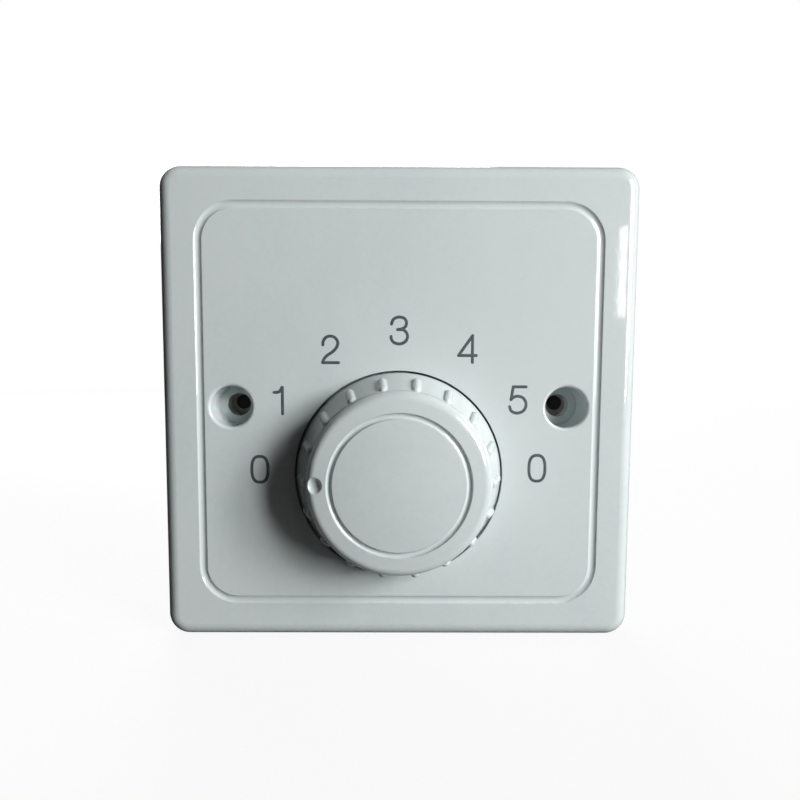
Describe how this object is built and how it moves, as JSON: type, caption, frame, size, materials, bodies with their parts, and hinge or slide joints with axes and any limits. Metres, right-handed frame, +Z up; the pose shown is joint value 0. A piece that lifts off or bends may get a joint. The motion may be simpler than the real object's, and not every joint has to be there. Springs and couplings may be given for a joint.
{
  "type": "fan speed control switch",
  "caption": "Square white wall plate with a ribbed rotary knob in a round well, two screw holes, a rear housing and a tapped-choke step switch inside.",
  "frame": {"origin": "centre of the plate on the wall plane, midway between the two wall screw holes", "axes": "+Z up, +Y into the wall, +X to the right as seen from the room"},
  "size_m": [0.086, 0.0482, 0.086],
  "materials": {
    "plate_white": "glossy moulded white",
    "knob_white": "glossy moulded white",
    "housing_black": "fine moulded matt",
    "zinc_steel": "zinc-plated",
    "die_cast_zinc": "as cast",
    "nickel_brass": "nickel-plated",
    "spring_steel": "rolled",
    "phenolic_board": "laminated phenolic",
    "contact_brass": "satin",
    "contact_bronze": "satin",
    "core_steel": "varnished laminations",
    "bobbin_nylon": "moulded nylon",
    "winding_copper": "enamelled wire",
    "tape_film": "polyester film",
    "block_plastic": "moulded",
    "lead_tap": "soft vinyl",
    "lead_feed": "soft vinyl",
    "lead_return": "soft vinyl",
    "rotor_plastic": "moulded nylon"
  },
  "bodies": {
    "root": {"front_plate": "plate_white", "rear_housing": "housing_black", "housing_screws": "zinc_steel", "switch_bush": "die_cast_zinc", "bush_nut": "nickel_brass", "lock_washer": "spring_steel", "detent_spring": "spring_steel", "switch_wafer": "phenolic_board", "wafer_screws": "zinc_steel", "tap_contact_1": "contact_brass", "tap_contact_2": "contact_brass", "tap_contact_3": "contact_brass", "tap_contact_4": "contact_brass", "tap_contact_5": "contact_brass", "common_contact": "contact_brass", "choke_core_e": "core_steel", "choke_core_i": "core_steel", "choke_bobbin": "bobbin_nylon", "choke_winding": "winding_copper", "winding_tape": "tape_film", "bobbin_pins": "contact_brass", "choke_frame": "zinc_steel", "choke_screws": "zinc_steel", "terminal_block": "block_plastic", "terminal_clamp_left": "contact_brass", "terminal_clamp_right": "contact_brass", "terminal_screws": "zinc_steel", "tap_lead_1": "lead_tap", "tap_lead_2": "lead_tap", "tap_lead_3": "lead_tap", "tap_lead_4": "lead_tap", "tap_lead_5": "lead_tap", "feed_lead": "lead_feed", "return_lead": "lead_return"},
    "knob": {"knob": "knob_white", "knob_spring_clip": "spring_steel", "switch_shaft": "die_cast_zinc", "shaft_circlip": "spring_steel", "star_wheel": "zinc_steel", "switch_rotor": "rotor_plastic", "wiper_contact": "contact_bronze"}
  },
  "joints": [
    {"name": "knob_turn", "type": "hinge", "parent": "root", "child": "knob", "pos_m": [0, 0, -0.01225], "axis": [0, 1, 0], "range_deg": [0, 180], "deforming": ["detent_spring"]}
  ]
}
